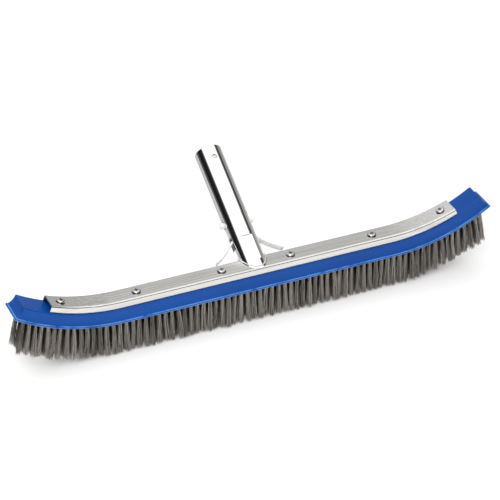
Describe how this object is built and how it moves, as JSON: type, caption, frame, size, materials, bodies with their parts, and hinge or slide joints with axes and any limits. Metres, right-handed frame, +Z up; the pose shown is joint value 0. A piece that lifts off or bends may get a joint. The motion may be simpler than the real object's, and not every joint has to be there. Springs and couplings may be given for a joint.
{
  "type": "pool wall brush",
  "caption": "Curved pool wall brush: steel-wire bristles in a blue plastic block, aluminium back, and an angled pole handle with a spring clip.",
  "frame": {"origin": "on the bristle tips, under the middle of the block", "axes": "+X along the brush, +Y to the rear where the handle leans, +Z up from the bristle tips to the back"},
  "size_m": [0.5212, 0.1485, 0.1348],
  "materials": {
    "blue_plastic": "satin",
    "brushed_aluminium": "satin",
    "polished_aluminium": "polished",
    "stainless_steel": "gloss",
    "clip_nylon": "satin",
    "bristle_wire": "satin",
    "anchor_wire": "satin"
  },
  "bodies": {
    "brush": {"brush_block": "blue_plastic", "back_channel": "brushed_aluminium", "handle_casting": "polished_aluminium", "clip_bow": "clip_nylon", "clip_pin": "stainless_steel", "foot_screw_left": "stainless_steel", "foot_screw_right": "stainless_steel", "back_screw_1": "stainless_steel", "back_screw_2": "stainless_steel", "back_screw_3": "stainless_steel", "back_screw_4": "stainless_steel", "back_screw_5": "stainless_steel", "back_screw_6": "stainless_steel", "tuft_row_1": "bristle_wire", "tuft_row_2": "bristle_wire", "tuft_row_3": "bristle_wire", "tuft_row_4": "bristle_wire", "tuft_row_5": "bristle_wire", "anchor_row_1": "anchor_wire", "anchor_row_2": "anchor_wire", "anchor_row_3": "anchor_wire", "anchor_row_4": "anchor_wire", "anchor_row_5": "anchor_wire"},
    "clip_left": {"clip_arm_left": "clip_nylon"},
    "clip_right": {"clip_arm_right": "clip_nylon"}
  },
  "joints": [
    {"name": "left_button", "type": "hinge", "parent": "brush", "child": "clip_left", "pos_m": [-0.0034, 0.10699, 0.11175], "axis": [0, -0.5, 0.866], "range_deg": [0, 3.7], "stiffness_Nm_per_rad": 1.2},
    {"name": "right_button", "type": "hinge", "parent": "brush", "child": "clip_right", "pos_m": [0.0034, 0.10699, 0.11175], "axis": [0, 0.5, -0.866], "range_deg": [0, 3.7], "stiffness_Nm_per_rad": 1.2}
  ]
}
